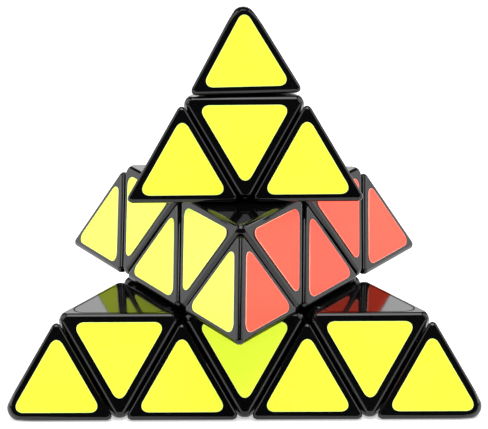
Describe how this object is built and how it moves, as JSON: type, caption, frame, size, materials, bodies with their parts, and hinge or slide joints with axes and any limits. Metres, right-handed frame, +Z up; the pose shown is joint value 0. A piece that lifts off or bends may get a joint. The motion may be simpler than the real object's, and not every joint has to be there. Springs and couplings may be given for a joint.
{
  "type": "pyramid twisty puzzle",
  "caption": "Four-layer pyramid twisty puzzle in glossy black plastic with coloured triangle stickers, whose layers and corner tips turn round a core.",
  "frame": {"origin": "on the resting face, straight below the corner that points up", "axes": "+Z up through the top corner, -Y out of the front face, +X to the right seen from the front"},
  "size_m": [0.0956, 0.0967, 0.078],
  "materials": {
    "black_plastic": "glossy black moulded plastic",
    "inner_plastic": "satin black moulded plastic, inside the puzzle",
    "steel": "plain bright steel"
  },
  "bodies": {
    "base_layer": {"core": "inner_plastic", "top_screw": "steel", "top_spring": "steel", "top_washer": "steel", "bottom_center": "black_plastic", "left_screw": "steel", "left_spring": "steel", "left_washer": "steel", "left_axial": "black_plastic", "left_pivot": "inner_plastic", "right_screw": "steel", "right_spring": "steel", "right_washer": "steel", "right_axial": "black_plastic", "right_pivot": "inner_plastic", "rear_screw": "steel", "rear_spring": "steel", "rear_washer": "steel", "rear_axial": "black_plastic", "rear_pivot": "inner_plastic", "left_wing_right": "black_plastic", "left_right_edge": "black_plastic", "left_wing_rear": "black_plastic", "left_rear_edge": "black_plastic", "right_wing_left": "black_plastic", "right_wing_rear": "black_plastic", "right_rear_edge": "black_plastic", "rear_wing_left": "black_plastic", "rear_wing_right": "black_plastic"},
    "third_layer": {"top_pivot": "inner_plastic", "right_center": "black_plastic", "left_center": "black_plastic", "front_center": "black_plastic", "top_left_edge": "black_plastic", "top_right_edge": "black_plastic", "top_rear_edge": "black_plastic", "left_wing_top": "black_plastic", "right_wing_top": "black_plastic", "rear_wing_top": "black_plastic"},
    "second_layer": {"top_axial": "black_plastic", "top_wing_left": "black_plastic", "top_wing_right": "black_plastic", "top_wing_rear": "black_plastic"},
    "top_tip": {"top_tip_cap": "black_plastic", "top_tip_base": "inner_plastic"},
    "left_tip": {"left_tip_cap": "black_plastic", "left_tip_base": "inner_plastic"},
    "right_tip": {"right_tip_cap": "black_plastic", "right_tip_base": "inner_plastic"},
    "rear_tip": {"rear_tip_cap": "black_plastic", "rear_tip_base": "inner_plastic"}
  },
  "joints": [
    {"name": "third_layer_turn", "type": "hinge", "parent": "base_layer", "child": "third_layer", "pos_m": [0, 0, 0.02041], "axis": [0, 0, 1], "continuous": true},
    {"name": "second_layer_turn", "type": "hinge", "parent": "base_layer", "child": "second_layer", "pos_m": [0, 0, 0.02041], "axis": [0, 0, 1], "continuous": true},
    {"name": "top_tip_turn", "type": "hinge", "parent": "second_layer", "child": "top_tip", "pos_m": [0, 0, 0.02041], "axis": [0, 0, 1], "continuous": true},
    {"name": "left_tip_turn", "type": "hinge", "parent": "base_layer", "child": "left_tip", "pos_m": [0, 0, 0.02041], "axis": [-0.8165, -0.4714, -0.3333], "continuous": true},
    {"name": "right_tip_turn", "type": "hinge", "parent": "base_layer", "child": "right_tip", "pos_m": [0, 0, 0.02041], "axis": [0.8165, -0.4714, -0.3333], "continuous": true},
    {"name": "rear_tip_turn", "type": "hinge", "parent": "base_layer", "child": "rear_tip", "pos_m": [0, 0, 0.02041], "axis": [0, 0.9428, -0.3333], "continuous": true}
  ]
}
